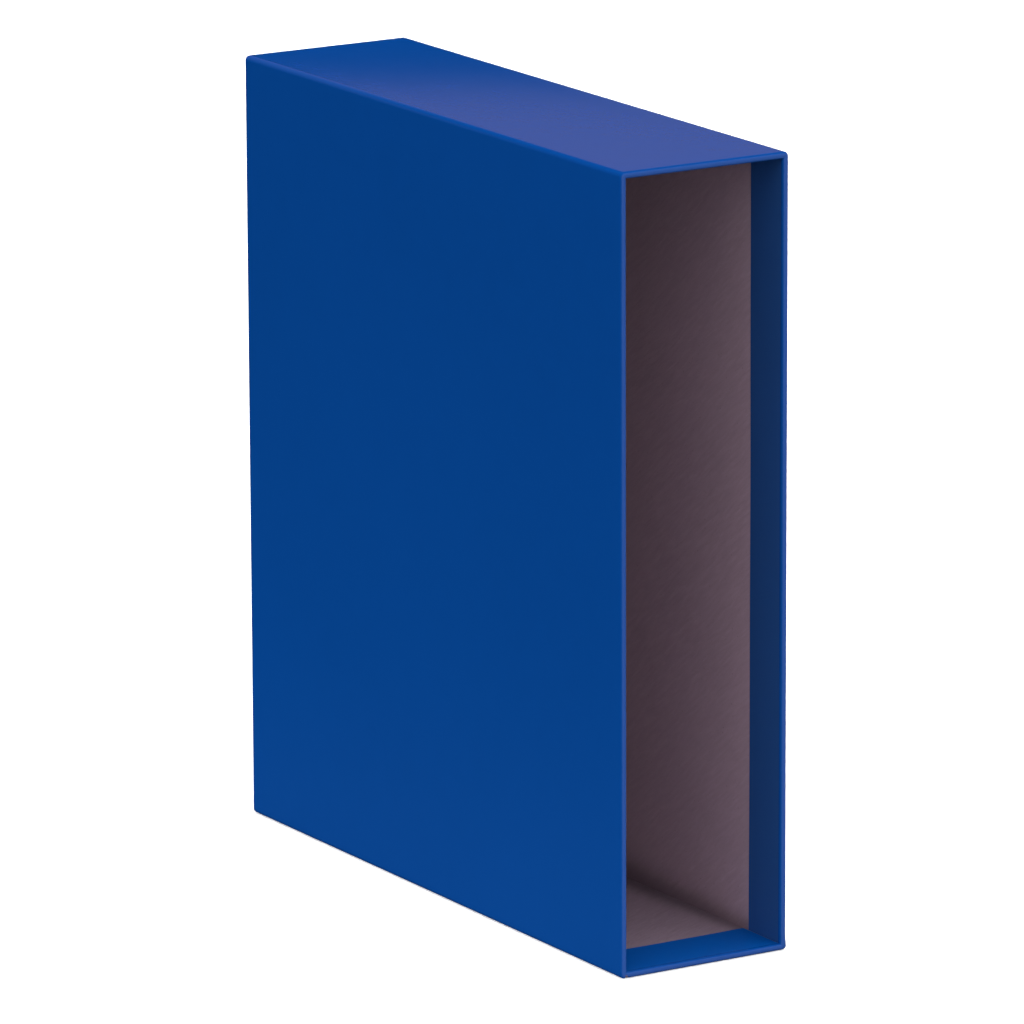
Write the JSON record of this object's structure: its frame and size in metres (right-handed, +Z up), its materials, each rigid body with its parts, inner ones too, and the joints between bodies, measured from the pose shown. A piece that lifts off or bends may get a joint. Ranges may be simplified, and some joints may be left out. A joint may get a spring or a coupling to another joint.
{
  "type": "lever arch file slipcase",
  "caption": "Empty upright archival slipcase for one A4 lever-arch file: greyboard case open at one narrow side, covered in plastic-coated blue paper turned in at the mouth.",
  "frame": {"origin": "centre of the underside", "axes": "+Z up along the height, -Y out of the open mouth, +Y towards the closed back, X across the narrow width"},
  "size_m": [0.078, 0.291, 0.325],
  "materials": {
    "greyboard": "bare mauve-grey recycled board, matte, fine fibre",
    "paper_tape": "brown gummed paper tape, matte",
    "blue_cover": "plastic-coated paper, semi-matte"
  },
  "bodies": {
    "root": {"left_side_board": "greyboard", "right_side_board": "greyboard", "top_board": "greyboard", "bottom_board": "greyboard", "back_board": "greyboard", "top_left_corner_stay": "paper_tape", "top_right_corner_stay": "paper_tape", "bottom_left_corner_stay": "paper_tape", "bottom_right_corner_stay": "paper_tape", "back_left_edge_stay": "paper_tape", "back_right_edge_stay": "paper_tape", "back_top_edge_stay": "paper_tape", "back_bottom_edge_stay": "paper_tape", "cover_wrap": "blue_cover", "back_cover_sheet": "blue_cover"}
  },
  "joints": []
}
